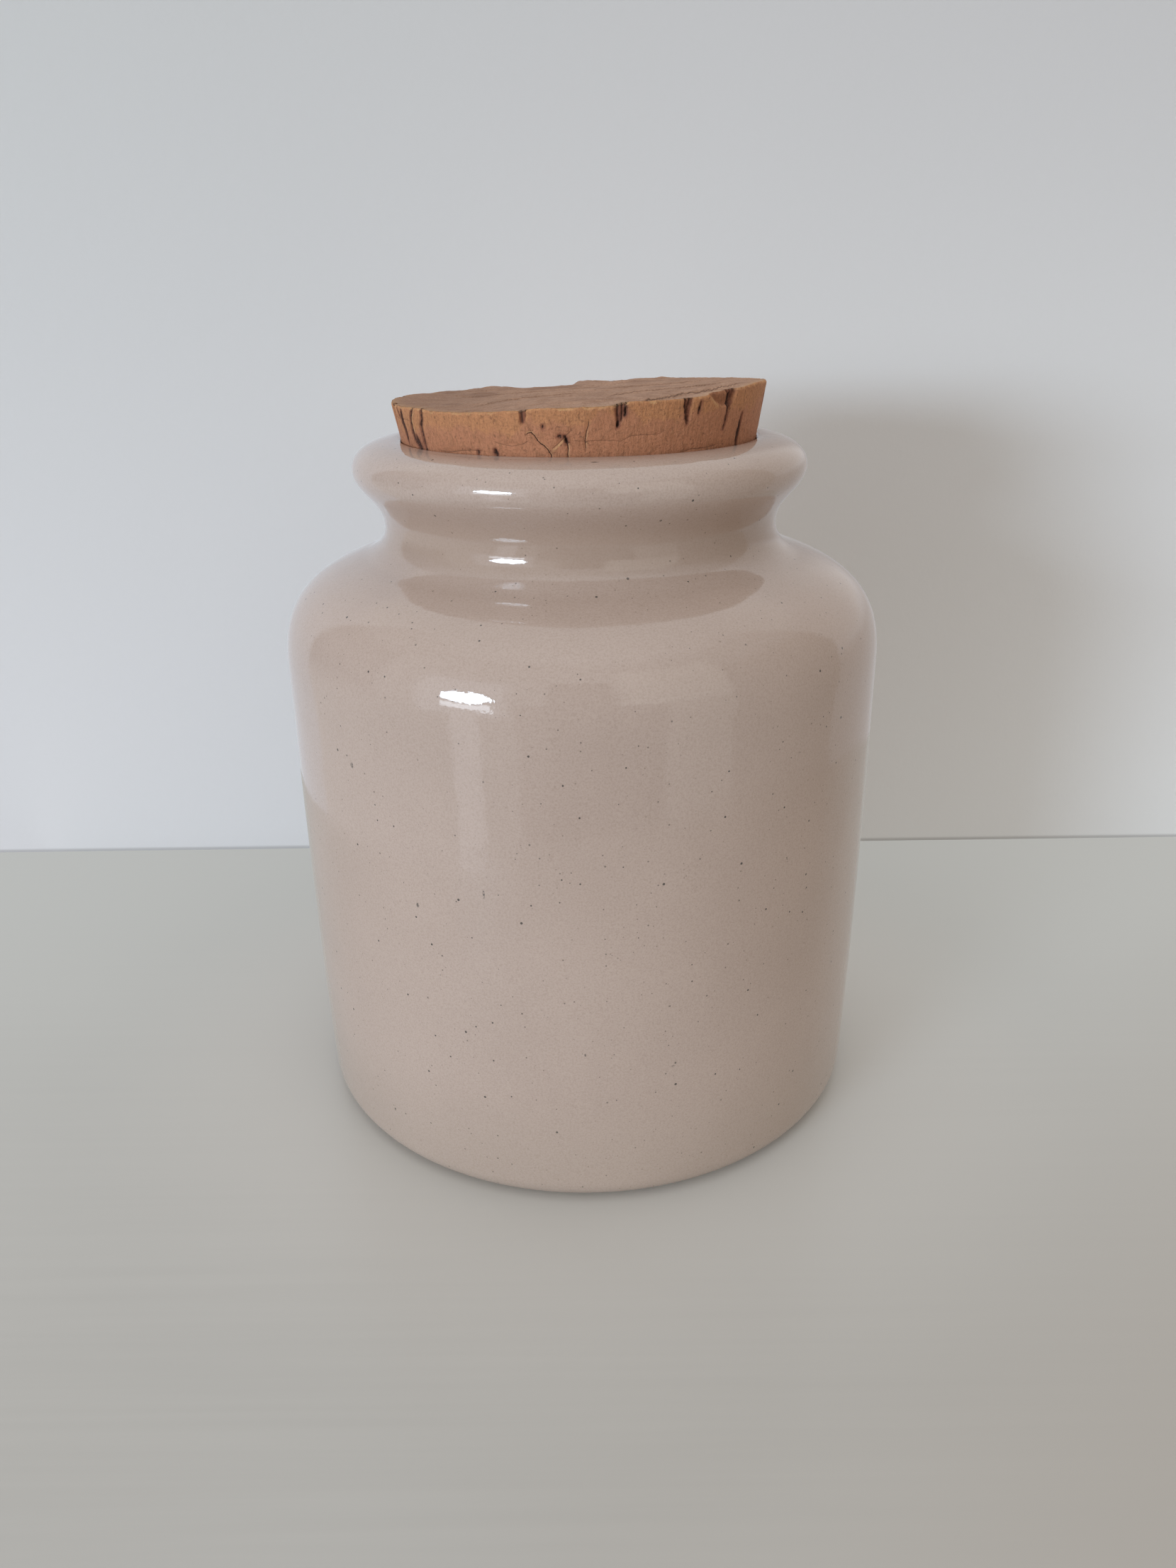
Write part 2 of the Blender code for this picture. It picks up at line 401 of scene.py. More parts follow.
def jar_unevenness(points):
    """How far the turned surface stands proud or shy of its ideal shape, in metres."""
    height = points[:, 2]
    angle = np.arctan2(points[:, 1], points[:, 0])
    oval = 0.10 * MM * np.cos(2 * angle + 0.7) + 0.05 * MM * np.cos(3 * angle + 2.0)
    broad = 0.10 * MM * fractal(points, 22.0, 2, seed=3.0)
    glaze = 0.014 * MM * fractal(points * (1, 1, 1.6), 170.0, 2, seed=9.0)
    neck = np.exp(-(((height - NECK_HEIGHT + 2.0 * MM) / (6.0 * MM)) ** 2))
    turning = 0.012 * MM * neck * np.sin(height / (0.26 * MM) + 1.5 * np.sin(angle + 1.0))
    grounded = smooth(height, 0.2 * MM, 6.0 * MM)
    return grounded * (oval + broad + glaze + turning)


def turned(pairs, ways):
    """Each pair of (outward, upward) in each of the ways round the axis."""
    flat = pairs[:, None, :1] * ways
    upward = np.broadcast_to(pairs[:, None, 1:], (*flat.shape[:2], 1))
    return np.concatenate([flat, upward], axis=2)


def make_jar():
    section = np.vstack(outside_section() + inside_section())
    angle = np.arange(JAR_SEGMENTS) * math.tau / JAR_SEGMENTS
    ways = np.stack([np.cos(angle), np.sin(angle)], axis=1)
    rings = turned(section, ways)
    outward = turned(section_normals(section), ways)
    uneven = jar_unevenness(rings.reshape(-1, 3)).reshape(rings.shape[:2])
    radius, height = section[:, :1], section[:, 1:]
    throat = (radius < CREST_RADIUS + 0.4 * MM) & (height > RIM_HEIGHT - THROAT_DEPTH)
    rings = rings + outward * np.where(throat, 0.0, uneven)[..., None]
    jar = closed_rings("jar_body", list(rings[1:-1]))
    jar.data.materials.append(glaze_material())
    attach(jar, "jar")
    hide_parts("jar")


# Marks in the glaze: (degrees from the front, height in millimetres, half width, half height)
BLEMISHES = (
    (-17.1, 58.3, 0.16, 0.80),
    (-30.2, 54.1, 0.18, 0.45),
    (15.5, 26.8, 0.36, 0.22),
    (15.9, 27.3, 0.20, 0.30),
    (28.8, 7.1, 0.26, 0.34),
    (29.4, 7.5, 0.30, 0.26),
    (30.2, 7.9, 0.22, 0.30),
    (-43.7, 74.9, 0.15, 0.55),
    (-0.3, 30.4, 0.20, 0.35),
    (96.0, 44.0, 0.17, 0.70),
    (143.0, 71.0, 0.30, 0.24),
    (-128.0, 22.0, 0.18, 0.60),
    (-166.0, 60.0, 0.16, 0.45),
    (178.0, 15.0, 0.34, 0.22),
)
# The same for the brown mark on the rim, with its distance from the axis:
# (degrees, distance, height, half sizes)
RIM_BLEMISH = (3.9, 33.6, 119.45, (0.80, 0.30, 0.35))


def glaze_specks(nodes, place, spacing, size, softness):
    """1 inside scattered round specks about size across, 0 outside."""
    inputs = {"Vector": place, "Scale": 1 / spacing, "Randomness": 1.0}
    distance = nodes.add("ShaderNodeTexVoronoi", inputs, output="Distance")
    chance = nodes.add("ShaderNodeSeparateColor", {0: distance.node.outputs["Color"]})
    chance = nodes.math("POWER", chance, 2.0)
    reach = nodes.math("MULTIPLY_ADD", chance, 0.36 * size / spacing, 0.28 * size / spacing)
    depth = nodes.math("SUBTRACT", reach, distance)
    return nodes.ramp(depth, 0.0, softness * size / spacing)


def glaze_mark(nodes, place, angle, out, height, radii):
    """1 within an ellipsoid, fading to 0 at its skin. It is given in degrees and millimetres."""
    turn = math.radians(angle)
    centre = (out * math.sin(turn), -out * math.cos(turn), height)
    shift = [-middle / radius for middle, radius in zip(centre, radii)]
    scale = [1 / (radius * MM) for radius in radii]
    local = nodes.add("ShaderNodeMapping", {"Vector": place, "Location": shift, "Scale": scale})
    reach = nodes.add("ShaderNodeVectorMath", {0: local}, output="Value", operation="LENGTH")
    return nodes.ramp(reach, 0.6, 1.15, 1.0, 0.0)


def glaze_blemishes(nodes, place):
    """The few long marks that stand out from the specks, on the wall and on the rim."""
    found = glaze_mark(nodes, place, *RIM_BLEMISH)
    for angle, height, wide, tall in BLEMISHES:
        turn = math.radians(angle)
        ways = abs(math.cos(turn)), abs(math.sin(turn))
        radii = [wide * way + 0.9 * (1 - way) for way in ways] + [tall]
        mark = glaze_mark(nodes, place, angle, BODY_RADIUS / MM, height, radii)
        found = nodes.math("MAXIMUM", found, mark)
    ragged = nodes.ramp(nodes.noise(place, 3800.0, 2.0, 0.6), 0.30, 0.55)
    return nodes.times(found, ragged)


def glaze_colour(nodes, place, height, dark):
    """Warm beige with specks, painted shade high on the wall and in the neck, olive near the foot."""
    cloud = nodes.ramp(nodes.noise(place, 38.0, 3.0, 0.55), 0.30, 0.70)
    grain = nodes.noise(place, 3300.0, 3.0, 0.75)
    patches = nodes.ramp(nodes.noise(place, 60.0, 2.0), 0.40, 0.62, 0.35, 1.0)
    medium = glaze_specks(nodes, place, 1.6 * MM, 0.31 * MM, 0.20)
    faint = glaze_specks(nodes, place, 1.0 * MM, 0.27 * MM, 0.30)
    blemishes = glaze_blemishes(nodes, place)
    # Painted shade: the upper wall grows a little darker towards the shoulder
    upper = nodes.ramp(height, 0.40 * RIM_HEIGHT, SHOULDER_START_HEIGHT, 0.0, 0.045)
    foot = nodes.ramp(height, 0.02 * RIM_HEIGHT, 0.22 * RIM_HEIGHT, 0.22, 0.0)
    # Painted shade in the neck groove under the rim's overhang
    above = nodes.ramp(height, SHOULDER_TOP_HEIGHT + 0.5 * MM, NECK_HEIGHT - 1.0 * MM)
    below_rim = nodes.ramp(height, NECK_HEIGHT + 2.0 * MM, RIM_WIDEST_HEIGHT, 1.0, 0.0)
    return nodes.over(
        (0.495, 0.377, 0.313),
        (cloud, (0.524, 0.401, 0.334)),
        (nodes.ramp(grain, 0.33, 0.55, 0.30, 0.0), (0.330, 0.235, 0.170)),
        (nodes.ramp(grain, 0.50, 0.70, 0.0, 0.24), (0.580, 0.465, 0.390)),
        (nodes.times(faint, patches, 0.58), (0.190, 0.145, 0.115)),
        (nodes.times(medium, 0.70), (0.110, 0.090, 0.076)),
        (nodes.times(dark, 0.88), (0.050, 0.044, 0.040)),
        (nodes.times(blemishes, 0.85), (0.070, 0.062, 0.055)),
        (upper, (0.0, 0.0, 0.0)),
        (foot, (0.330, 0.275, 0.205)),
        (nodes.times(above, below_rim, 0.42), (0.340, 0.232, 0.160)),
    )


def unglazed(nodes, place, height):
    """1 on the foot ring and in the recess within it, 0 where there is glaze."""
    wavy = nodes.math("MULTIPLY_ADD", nodes.noise(place, 60.0), 0.5 * MM, 0.15 * MM)
    ring = nodes.ramp(nodes.math("SUBTRACT", height, wavy), 0.0, 0.15 * MM, 1.0, 0.0)
    under = nodes.math("LESS_THAN", height, 3.0 * MM)
    within = nodes.ramp(nodes.off_axis(place), 0.80 * BODY_RADIUS, 0.82 * BODY_RADIUS, 1.0, 0.0)
    return nodes.math("MAXIMUM", ring, nodes.times(under, within))


def glaze_material():
    """Glossy glaze with iron specks, and bare stoneware under the foot."""
    material, nodes = new_material("glazed_stoneware")
    place = nodes.place()
    _, _, height = nodes.xyz(place)
    dark = glaze_specks(nodes, place, 2.4 * MM, 0.40 * MM, 0.14)
    bare = unglazed(nodes, place, height)
    clay = nodes.over(
        (0.430, 0.315, 0.220),
        (nodes.ramp(nodes.noise(place, 420.0, 4.0, 0.65), 0.35, 0.65), (0.560, 0.440, 0.330)),
        (nodes.times(dark, 0.7), (0.090, 0.065, 0.050)),
    )
    colour = nodes.mix(bare, glaze_colour(nodes, place, height, dark), clay)
    gloss = nodes.ramp(nodes.noise(place, 240.0, 3.0), 0.3, 0.7, 0.020, 0.045)
    roughness = nodes.mix(bare, gloss, (0.78, 0.78, 0.78))
    waves = (
        (nodes.noise(place, 1700.0, 2.0, 0.6), 0.009 * MM),
        (nodes.noise(place, 150.0, 2.0, 0.5), 0.075 * MM),
        (nodes.noise(nodes.stretched(place, 0.02, 0.02, 1.0), 520.0, 2.0, 0.5), 0.018 * MM),
        (nodes.times(nodes.noise(place, 2600.0, 2.0, 0.6), bare), 0.12 * MM),
    )
    nodes.close(nodes.surface(colour, roughness, waves, 1.0, {"IOR": 1.60}))
    return material


# ---- the cork
# Marks on the cork's side. Each line runs through points of (degrees from the front,
# millimetres above the jar's rim). Slits open the surface: (half width, depth, line).
SLITS = (
    (0.48, 0.45, ((-64.3, 6.0), (-65.6, 4.5), (-64.5, 2.9), (-64.4, 1.2))),
    (0.28, 0.45, ((-55.7, 6.4), (-58.0, 4.8), (-58.4, 3.6), (-58.3, 2.1), (-57.0, 0.8),
                  (-55.0, -1.0))),
    (0.28, 0.50, ((-50.2, 6.8), (-50.8, 5.2), (-52.3, 4.0), (-52.4, 2.4), (-52.3, 0.6),
                  (-50.5, -1.4))),
    (0.34, 0.40, ((-56.8, 2.4), (-55.6, 0.9), (-54.4, -0.8))),
    (0.20, 0.9, ((13.0, 7.0), (13.1, 6.2), (13.0, 5.5))),
    (0.26, 0.8, ((11.0, 4.7), (10.8, 4.0))),
    (0.13, 0.7, ((31.0, 6.3), (31.4, 5.0), (31.9, 3.7))),
    (0.15, 0.5, ((36.3, 6.7), (35.7, 5.1))),
    (0.42, 0.9, ((48.7, 7.4), (48.4, 6.6), (47.9, 5.9))),
    (0.15, 0.6, ((48.1, 5.6), (47.6, 3.8), (46.9, 2.2))),
    (0.36, 0.50, ((56.2, 4.1), (55.7, 2.3), (55.5, 0.6), (55.8, -1.4))),
    (0.28, 0.6, ((-24.4, 1.1), (-23.9, 0.2))),
    (0.15, 0.4, ((-30.1, 0.9), (-30.0, 0.3))),
    (0.24, 0.8, ((-3.9, 3.0), (-3.4, 2.5), (-3.0, 2.0))),
    (0.14, 0.5, ((-5.7, 2.9), (-5.1, 3.1), (-4.7, 2.7))),
    (0.12, 0.4, ((-9.7, 4.5), (-9.6, 4.2))),
)
# Cracks are as fine as a hair: (half width, strength, line).
CRACKS = (
    (0.065, 1.0, ((-14.6, 3.2), (-14.0, 3.5), (-12.9, 3.6), (-11.4, 2.4), (-9.7, 1.7), (-8.7, 1.1),
                  (-7.8, 0.3), (-7.5, -0.9))),
    (0.065, 1.0, ((-3.1, 2.1), (-2.9, 1.4), (-3.1, -0.8))),
    (0.058, 0.9, ((3.1, 5.1), (2.9, 4.3), (2.3, 3.4), (2.0, 2.2), (2.0, 0.6))),
    (0.045, 0.5, ((-7.6, 1.1), (-6.4, 1.6), (-5.6, 1.9), (-4.0, 2.7), (-2.2, 3.6), (-1.4, 4.2))),
    (0.045, 0.42, ((-24.6, 2.3), (-21.2, 1.8), (-18.9, 1.6), (-15.7, 1.9), (-14.0, 2.4))),
    (0.045, 0.40, ((-3.0, 2.3), (1.4, 2.2), (5.1, 2.2), (10.4, 2.1), (11.9, 1.9), (14.7, 2.6),
                   (17.7, 2.7), (21.5, 2.6), (23.4, 2.6), (24.7, 3.2))),
    (0.080, 0.40, ((-46.2, 0.6), (-41.3, 0.4), (-36.9, 0.7), (-32.8, 0.9), (-26.9, 0.8))),
    (0.080, 0.40, ((24.5, -0.4), (30.3, -0.5), (34.8, -0.1), (39.8, -0.2), (46.2, 0.1))),
)
# Flake edges stand a little proud and are paler.
FLAKE_EDGES = (
    ((-7.6, 0.8), (-5.6, 1.6), (-3.9, 2.6)),
    ((39.6, 7.3), (41.4, 6.4), (43.6, 5.5)),
    ((19.4, 7.3), (20.8, 7.0), (21.8, 7.2)),
    ((-54.6, 6.1), (-56.9, 5.2), (-57.4, 3.8), (-57.0, 2.6)),
)
# Lenticels are wedges of dark reddish fibre that run down from the cork's top:
# (middle at the top, middle at the foot, half width at the top, half width at the foot, foot height)
LENTICELS = (
    (-14.9, -15.2, 1.00, 0.75, 4.6),
    (11.6, 11.3, 1.90, 0.85, 4.3),
    (31.7, 32.0, 1.75, 0.35, 3.6),
    (49.6, 47.8, 2.30, 0.80, 4.6),
)
# A reddish spot between the curled slits: (degrees, height, half sizes of both)
RED_SPOT = (-55.2, 0.9, 2.0, 1.7)
# The front of the chip in the top edge: the chip lies above this line.
CHIP_LINE = ((37.5, 9.5), (39.2, 7.5), (41.0, 6.6), (44.3, 5.7), (47.2, 5.5), (50.6, 6.3),
             (52.5, 9.5))
# Unevenness of the top edge: (degrees from the front, millimetres above the sloping top)
EDGE_RISES = (
    (-180, 0.0), (-178, -0.75), (-170, -0.90), (-158, -0.6), (-152, -0.25), (-149, 0.3),
    (-135, 0.1), (-121, 0.3), (-110, 0.6), (-92, 0.6), (-75, 0.4), (-65, 0.25), (-50, 0.15),
    (-46, -0.20), (-28, -0.35), (-16, -0.30), (-12, -0.05), (3, -0.3), (9, -0.3), (14, 0.1),
    (27, -0.2), (38, -0.1), (41, 0.15), (54, 0.40), (64, 0.65), (78, 0.55), (95, 0.2),
    (125, -0.1), (157, 0.05), (166, -0.2), (176, 0.05), (180, 0.0),
)
# Broken layers of bark on the top: (half width and strength of the painted shade at the foot of the
# step, height of the step, line of x and y in millimetres). The right-hand side of a line is lower.
LEDGES = (
    (0.08, 0.50, 0.26, ((2.0, -17.0), (8.8, -10.6), (11.4, -9.3), (15.1, -8.3), (19.7, -6.3),
                        (25.0, -4.6))),
    (0.08, 0.60, 0.36, ((7.4, -30.5), (10.5, -26.2), (13.4, -21.8), (17.6, -16.8), (21.7, -13.7),
                        (27.5, -11.6))),
    (0.07, 0.30, 0.22, ((-17.0, -21.0), (-12.5, -11.5), (-9.0, -6.5), (-3.0, -3.2), (2.5, -2.0))),
    (0.07, 0.30, 0.22, ((-22.0, 3.0), (-15.0, 8.5), (-9.5, 10.8), (-1.0, 11.6), (6.0, 14.5))),
    (0.08, 0.35, 0.22, ((4.0, 4.5), (10.0, 7.2), (17.0, 8.4), (23.5, 12.5))),
)
# Darker stains on the top: (x, y, half width, half depth) in millimetres
STAINS = (
    (-16.0, 8.6, 2.6, 4.0),
    (-23.5, 12.0, 2.0, 3.0),
    (-10.6, -4.5, 2.2, 1.4),
    (-4.0, 17.0, 4.6, 2.4),
    (13.5, 17.5, 3.8, 1.8),
    (17.0, -1.0, 5.0, 1.3),
    (-20.0, -14.0, 1.6, 2.2),
    (3.0, -22.0, 4.5, 1.0),
    (6.0, 8.0, 2.2, 1.0),
)
BACK_LENTICELS = 8
BACK_SLITS = 13
LOWER_SLITS = 18
BACK_CRACKS = 9
FACE_PORES = 44
FACE_PORE_SPREAD = 28.5 * MM
# Cracks are drawn out to this many of their half widths
CRACK_REACH = 9.0
# Millimetres along the cork's side for each degree round it, and the angle where the unrolled
# side is cut: places beyond it lie to the left of the front.
PER_DEGREE = math.radians(CORK_RADIUS_AT_RIM / MM)
CUT_ANGLE = 72
# The cork's foot and the lowest row of its side that can be seen, in millimetres
FOOT_LEVEL = 0.3 - CORK_SUNK_DEPTH / MM
SEEN_LEVEL = -1.6
# What each point of the cork's surface tells its material
CORK_SHOWS = ("pore", "red", "pale", "top", "below_edge", "crack", "strength")


def graded_rings(*spans):
    """(share of the radius, segments) of rings across a face, from spans of
    (segments, share at the outer end, share at the inner end, rings).
    """
    rings = []
    for segments, outer, inner, count in spans:
        rings += [(share, segments) for share in np.linspace(outer, inner, count, endpoint=False)]
    return rings


CORK_TOP_RINGS = graded_rings(
    (CORK_SEGMENTS, 1.0, 0.90, 15),
    (CORK_SEGMENTS // 2, 0.90, 0.62, 22),
    (CORK_SEGMENTS // 4, 0.62, 0.28, 26),
    (CORK_SEGMENTS // 8, 0.28, 0.0, 20),
)
CORK_UNDER_RINGS = graded_rings(
    (CORK_SEGMENTS, 1.0, 0.985, 1),
    (CORK_SEGMENTS // 2, 0.985, 0.80, 6),
    (CORK_SEGMENTS // 4, 0.80, 0.40, 12),
    (CORK_SEGMENTS // 8, 0.40, 0.0, 12),
)[::-1]


def cork_radius(height):
    return CORK_RADIUS_AT_RIM + CORK_TAPER * height


def to_row(points):
    """Points in the cork's own frame, turned by its tilt and set on the rim plane."""
    turn = np.array(Matrix.Rotation(-CORK_TILT, 3, "Y"))
    return points @ turn.T + np.array([0.0, 0.0, RIM_HEIGHT])


def unrolled(line):
    """A line of (degrees, millimetres) on the cork's side in millimetres both ways."""
    return [((angle - 360 * (angle > CUT_ANGLE)) * PER_DEGREE, height) for angle, height in line]


def off_line(u, v, line):
    """Distance of each place from a line, negative on the line's right, and how far along it."""
    nearest = np.full(np.shape(u), 1e3)
    share = np.zeros(np.shape(u))
    for step, (start, end) in enumerate(zip(line, line[1:])):
        across, up = end[0] - start[0], end[1] - start[1]
        right, high = u - start[0], v - start[1]
        t = np.clip((right * across + high * up) / (across**2 + up**2), 0, 1)
        distance = np.hypot(right - t * across, high - t * up)
        side = np.where(across * high - up * right < 0, -1, 1)
        closer = distance < np.abs(nearest)
        nearest = np.where(closer, side * distance, nearest)
        share = np.where(closer, (step + t) / (len(line) - 1), share)
    return nearest, share


def hair_lines(u, v, lines):
    """For the nearest of the cracks: the place in half widths off its middle, and its strength."""
    crack = np.full(np.shape(u), CRACK_REACH)
    strength = np.zeros(np.shape(u))
    nearest = np.full(np.shape(u), 1e3)
    for half, full, line in lines:
        distance, share = off_line(u, v, line)
        closer = np.abs(distance) < nearest
        nearest = np.where(closer, np.abs(distance), nearest)
        ends = 1 - smooth(np.abs(2 * share - 1), 0.75, 1.0)
        near = 1 - smooth(np.abs(distance), 0.5, 0.9)
        crack = np.where(closer, np.clip(distance / half, -CRACK_REACH, CRACK_REACH), crack)
        strength = np.where(closer, full * (0.25 + 0.75 * ends) * near, strength)
    return crack, strength


def back_marks(random):
    """Slits and lenticels for the sides and the back, in the manner of those in front."""
    slits = []
    for spot in np.linspace(80, 288, BACK_SLITS):
        angle = spot + random.uniform(-5, 5)
        top = random.uniform(1.5, 6.4)
        length = random.uniform(0.8, 3.4)
        lean = random.uniform(-1.2, 1.2)
        line = ((angle, top), (angle + 0.6 * lean, top - 0.6 * length), (angle + lean, top - length))
        slits.append((random.uniform(0.12, 0.28), random.uniform(0.4, 0.8), line))
    for spot in np.linspace(-175, 172, LOWER_SLITS):
        angle = spot + random.uniform(-6, 6)
        top = random.uniform(-8.0, -2.5)
        length = random.uniform(1.0, 4.5)
        line = ((angle, top), (angle + random.uniform(-1.5, 1.5), top - length))
        slits.append((random.uniform(0.12, 0.28), random.uniform(0.3, 0.7), line))
    lenticels = []
    for spot in np.linspace(92, 280, BACK_LENTICELS):
        angle = spot + random.uniform(-7, 7)
        wide = random.uniform(0.7, 2.2)
        at_foot = angle + random.uniform(-0.6, 0.6)
        lenticels.append((angle, at_foot, wide, 0.35 * wide, random.uniform(2.6, 6.0)))
    return slits, lenticels


def back_cracks(random):
    """Hair cracks for the sides and the back: some run with the layers, some wander down."""
    lines = []
    for spot in np.linspace(76, 284, BACK_CRACKS):
        angle = spot + random.uniform(-6, 6)
        height = random.uniform(0.2, 5.0)
        level = random.uniform(0, 1) < 0.55
        line = [(angle, height)]
        for _ in range(4):
            angle += random.uniform(2.0, 5.0) if level else random.uniform(-1.2, 1.8)
            height += random.uniform(-0.4, 0.4) if level else random.uniform(-1.2, -0.4)
            line.append((angle, height))
        lines.append((random.uniform(0.045, 0.065), 0.42 if level else 0.9, line))
    return lines


def side_marks(angle, height, edge, wander):
    """Depths in millimetres and shares of the marks on the cork's side. wander is small noise."""
    random = np.random.default_rng(12)
    more_slits, more_lenticels = back_marks(random)
    cracks = list(CRACKS) + back_cracks(random)
    u = (angle - 360 * (angle >= CUT_ANGLE)) * PER_DEGREE + 0.10 * wander
    v = height + 0.07 * wander
    depth, pore, red, pale = (np.zeros(angle.shape) for _ in range(4))
    for wide, deep, line in list(SLITS) + more_slits:
        distance, share = off_line(u, v, unrolled(line))
        distance = np.abs(distance)
        half = wide * (0.45 + 0.55 * np.sin(np.pi * share)) * (1 + 0.35 * wander)
        depth = np.maximum(depth, deep * (1 - smooth(distance, 0.2 * half, half + 0.05)))
        pore = np.maximum(pore, 1 - smooth(distance, 0.75 * half, 1.2 * half + 0.08))
        red = np.maximum(red, 0.8 * (1 - smooth(distance, half + 0.1, half + 0.45)))
    for line in FLAKE_EDGES:
        distance, share = off_line(u, v, unrolled(line))
        inside = (1 - smooth(np.abs(distance), 0.05, 0.24)) * np.sin(np.pi * share) ** 0.5
        depth = depth - 0.10 * inside
        pale = np.maximum(pale, 0.75 * inside)
    for at_top, at_foot, wide_top, wide_foot, foot in list(LENTICELS) + more_lenticels:
        ahead, behind = (at_top > CUT_ANGLE) & (angle < 0), (at_top < CUT_ANGLE) & (angle > 180)
        around = angle + 360 * ahead - 360 * behind
        down = np.clip((edge - height) / (edge - foot), 0, 1.4)
        middle = at_top + (at_foot - at_top) * down
        half = wide_top + (wide_foot - wide_top) * down
        across = np.abs(around - middle + 0.22 * wander) / np.maximum(half, 0.1)
        ends = down + 0.16 * wander
        inside = (1 - smooth(across, 0.70, 1.12)) * (1 - smooth(ends, 0.80, 1.05))
        fibre = smooth(np.sin((around - at_top) * 5.3 + 1.1 * wander + at_top), 0.0, 0.8)
        depth = np.maximum(depth, inside * (0.24 + 0.34 * fibre))
        pore = np.maximum(pore, inside * (0.26 + 0.50 * fibre))
        red = np.maximum(red, inside)
    red_angle, red_height, red_half_angle, red_half_height = RED_SPOT
    spot = np.hypot((angle - red_angle) / red_half_angle, (height - red_height) / red_half_height)
    red = np.maximum(red, 0.8 * (1 - smooth(spot + 0.3 * wander, 0.5, 1.1)))
    lines = [(half, full, unrolled(line)) for half, full, line in cracks]
    crack, strength = hair_lines(u, v, lines)
    depth = np.maximum(depth, 0.22 * strength * (1 - smooth(np.abs(crack), 0.5, 3.2)))
    return dict(depth=depth, pore=pore, red=red, pale=pale, crack=crack, strength=strength)


def chipped(angle, height):
    """0 outside and 1 inside the chip in the cork's top edge."""
    line = np.interp(angle, *zip(*CHIP_LINE), left=20.0, right=20.0)
    return smooth(height, line, line + 0.45)


def terraces(x, y):
    """Height in millimetres of the bark's broken layers on the cork's top, from 0 to about 1."""
    broad = fractal(level_points(x, y) * (1, 1.9, 1), 42.0, 3, seed=5.0)
    lift = 1.5 + 1.3 * broad + 0.018 * (x / MM) - 0.030 * (y / MM)
    level = np.floor(lift)
    part = lift - level
    return 0.20 * (level + smooth(part, 0.0, 0.22)) + 0.04 * part


def ledges(x, y, wander):
    """Drop in millimetres beside the ledges of the cork's top, and the painted shade at their feet."""
    u = x / MM + 0.30 * wander
    v = y / MM + 0.30 * wander
    drop = np.zeros(x.shape)
    for _, _, step, line in LEDGES:
        distance, share = off_line(u, v, line)
        ends = 1 - smooth(np.abs(2 * share - 1), 0.7, 1.0)
        lower = smooth(-distance, -0.12, 0.12) * (1 - smooth(-distance, 0.5, 6.0))
        drop = drop + step * lower * ends
    crack, strength = hair_lines(u, v, [ledge[:2] + ledge[3:] for ledge in LEDGES])
    return drop, crack, strength


def stained(x, y, wander):
    """0 to 1 where the cork's top is stained darker."""
    stain = np.zeros(x.shape)
    for middle_x, middle_y, wide, long in STAINS:
        reach = np.hypot((x / MM - middle_x) / wide, (y / MM - middle_y) / long)
        stain = np.maximum(stain, 1 - smooth(reach + 0.85 * wander, 0.25, 1.3))
    return stain


def face_pores(x, y, random):
    """Depth in millimetres and share of the round pores where lenticels meet the cut face."""
    depth = np.zeros(x.shape)
    pore = np.zeros(x.shape)
    for _ in range(FACE_PORES):
        spot = random.uniform(0, math.tau)
        out = FACE_PORE_SPREAD * math.sqrt(random.uniform(0, 1))
        turn = random.uniform(-0.4, 0.4)
        wide = random.uniform(0.14, 0.48) * MM
        long = wide * random.uniform(1.3, 3.2)
        dx = x - out * math.cos(spot)
        dy = y - out * math.sin(spot)
        along = dx * math.cos(turn) + dy * math.sin(turn)
        across = dy * math.cos(turn) - dx * math.sin(turn)
        reach = np.hypot(along / long, across / wide)
        inside = 1 - smooth(reach, 0.45, 1.15)
        depth = np.maximum(depth, 0.40 * inside)
        pore = np.maximum(pore, 0.60 * inside)
    return depth, pore


class CorkRings:
    """Collects rings of points in the cork's frame, with what each point shows."""

    def __init__(self):
        self.rings = []
        self.shows = {name: [] for name in CORK_SHOWS}

    def add(self, x, y, z, **shows):
        self.rings.append(np.stack([x, y, z], axis=1))
        for key, values in self.shows.items():
            values.append(np.broadcast_to(np.float64(shows.get(key, 0.0)), x.shape))

    def attributes(self):
        return {key: np.concatenate(values) for key, values in self.shows.items()}


def ring_angles(segments):
    """Angles round the cork in degrees from the front, positive to the right, and their x and y."""
    angle = -180 + 360 * np.arange(segments) / segments
    turn = np.radians(angle)
    return angle, np.sin(turn), -np.cos(turn)


def edge_height(angle, x_way, y_way):
    """Height in millimetres of the cork's top edge."""
    radius = cork_radius(CORK_RISE) / MM
    plane = CORK_RISE / MM + radius * (CORK_TOP_SLOPE_X * x_way + CORK_TOP_SLOPE_Y * y_way)
    rise = np.interp(angle, *zip(*EDGE_RISES))
    points = level_points(x_way, y_way)
    rough = 0.07 * fractal(points, 14.0, 3, seed=2.0) + 0.05 * fractal(points, 60.0, 2, seed=8.0)
    return plane + rise + rough


def add_underside(cork):
    for share, segments in CORK_UNDER_RINGS:
        _, x_way, y_way = ring_angles(segments)
        radius = share * (cork_radius(-CORK_SUNK_DEPTH) - CORK_FOOT_BEVEL)
        x, y = radius * x_way, radius * y_way
        depth, pore = face_pores(x, y, np.random.default_rng(31))
        rough = 0.05 * fractal(level_points(x, y), 900.0, 2, seed=1.0)
        z = -CORK_SUNK_DEPTH + (depth + rough) * MM
        cork.add(x, y, z, pore=pore, red=pore, top=0.35, below_edge=9.0, crack=CRACK_REACH)


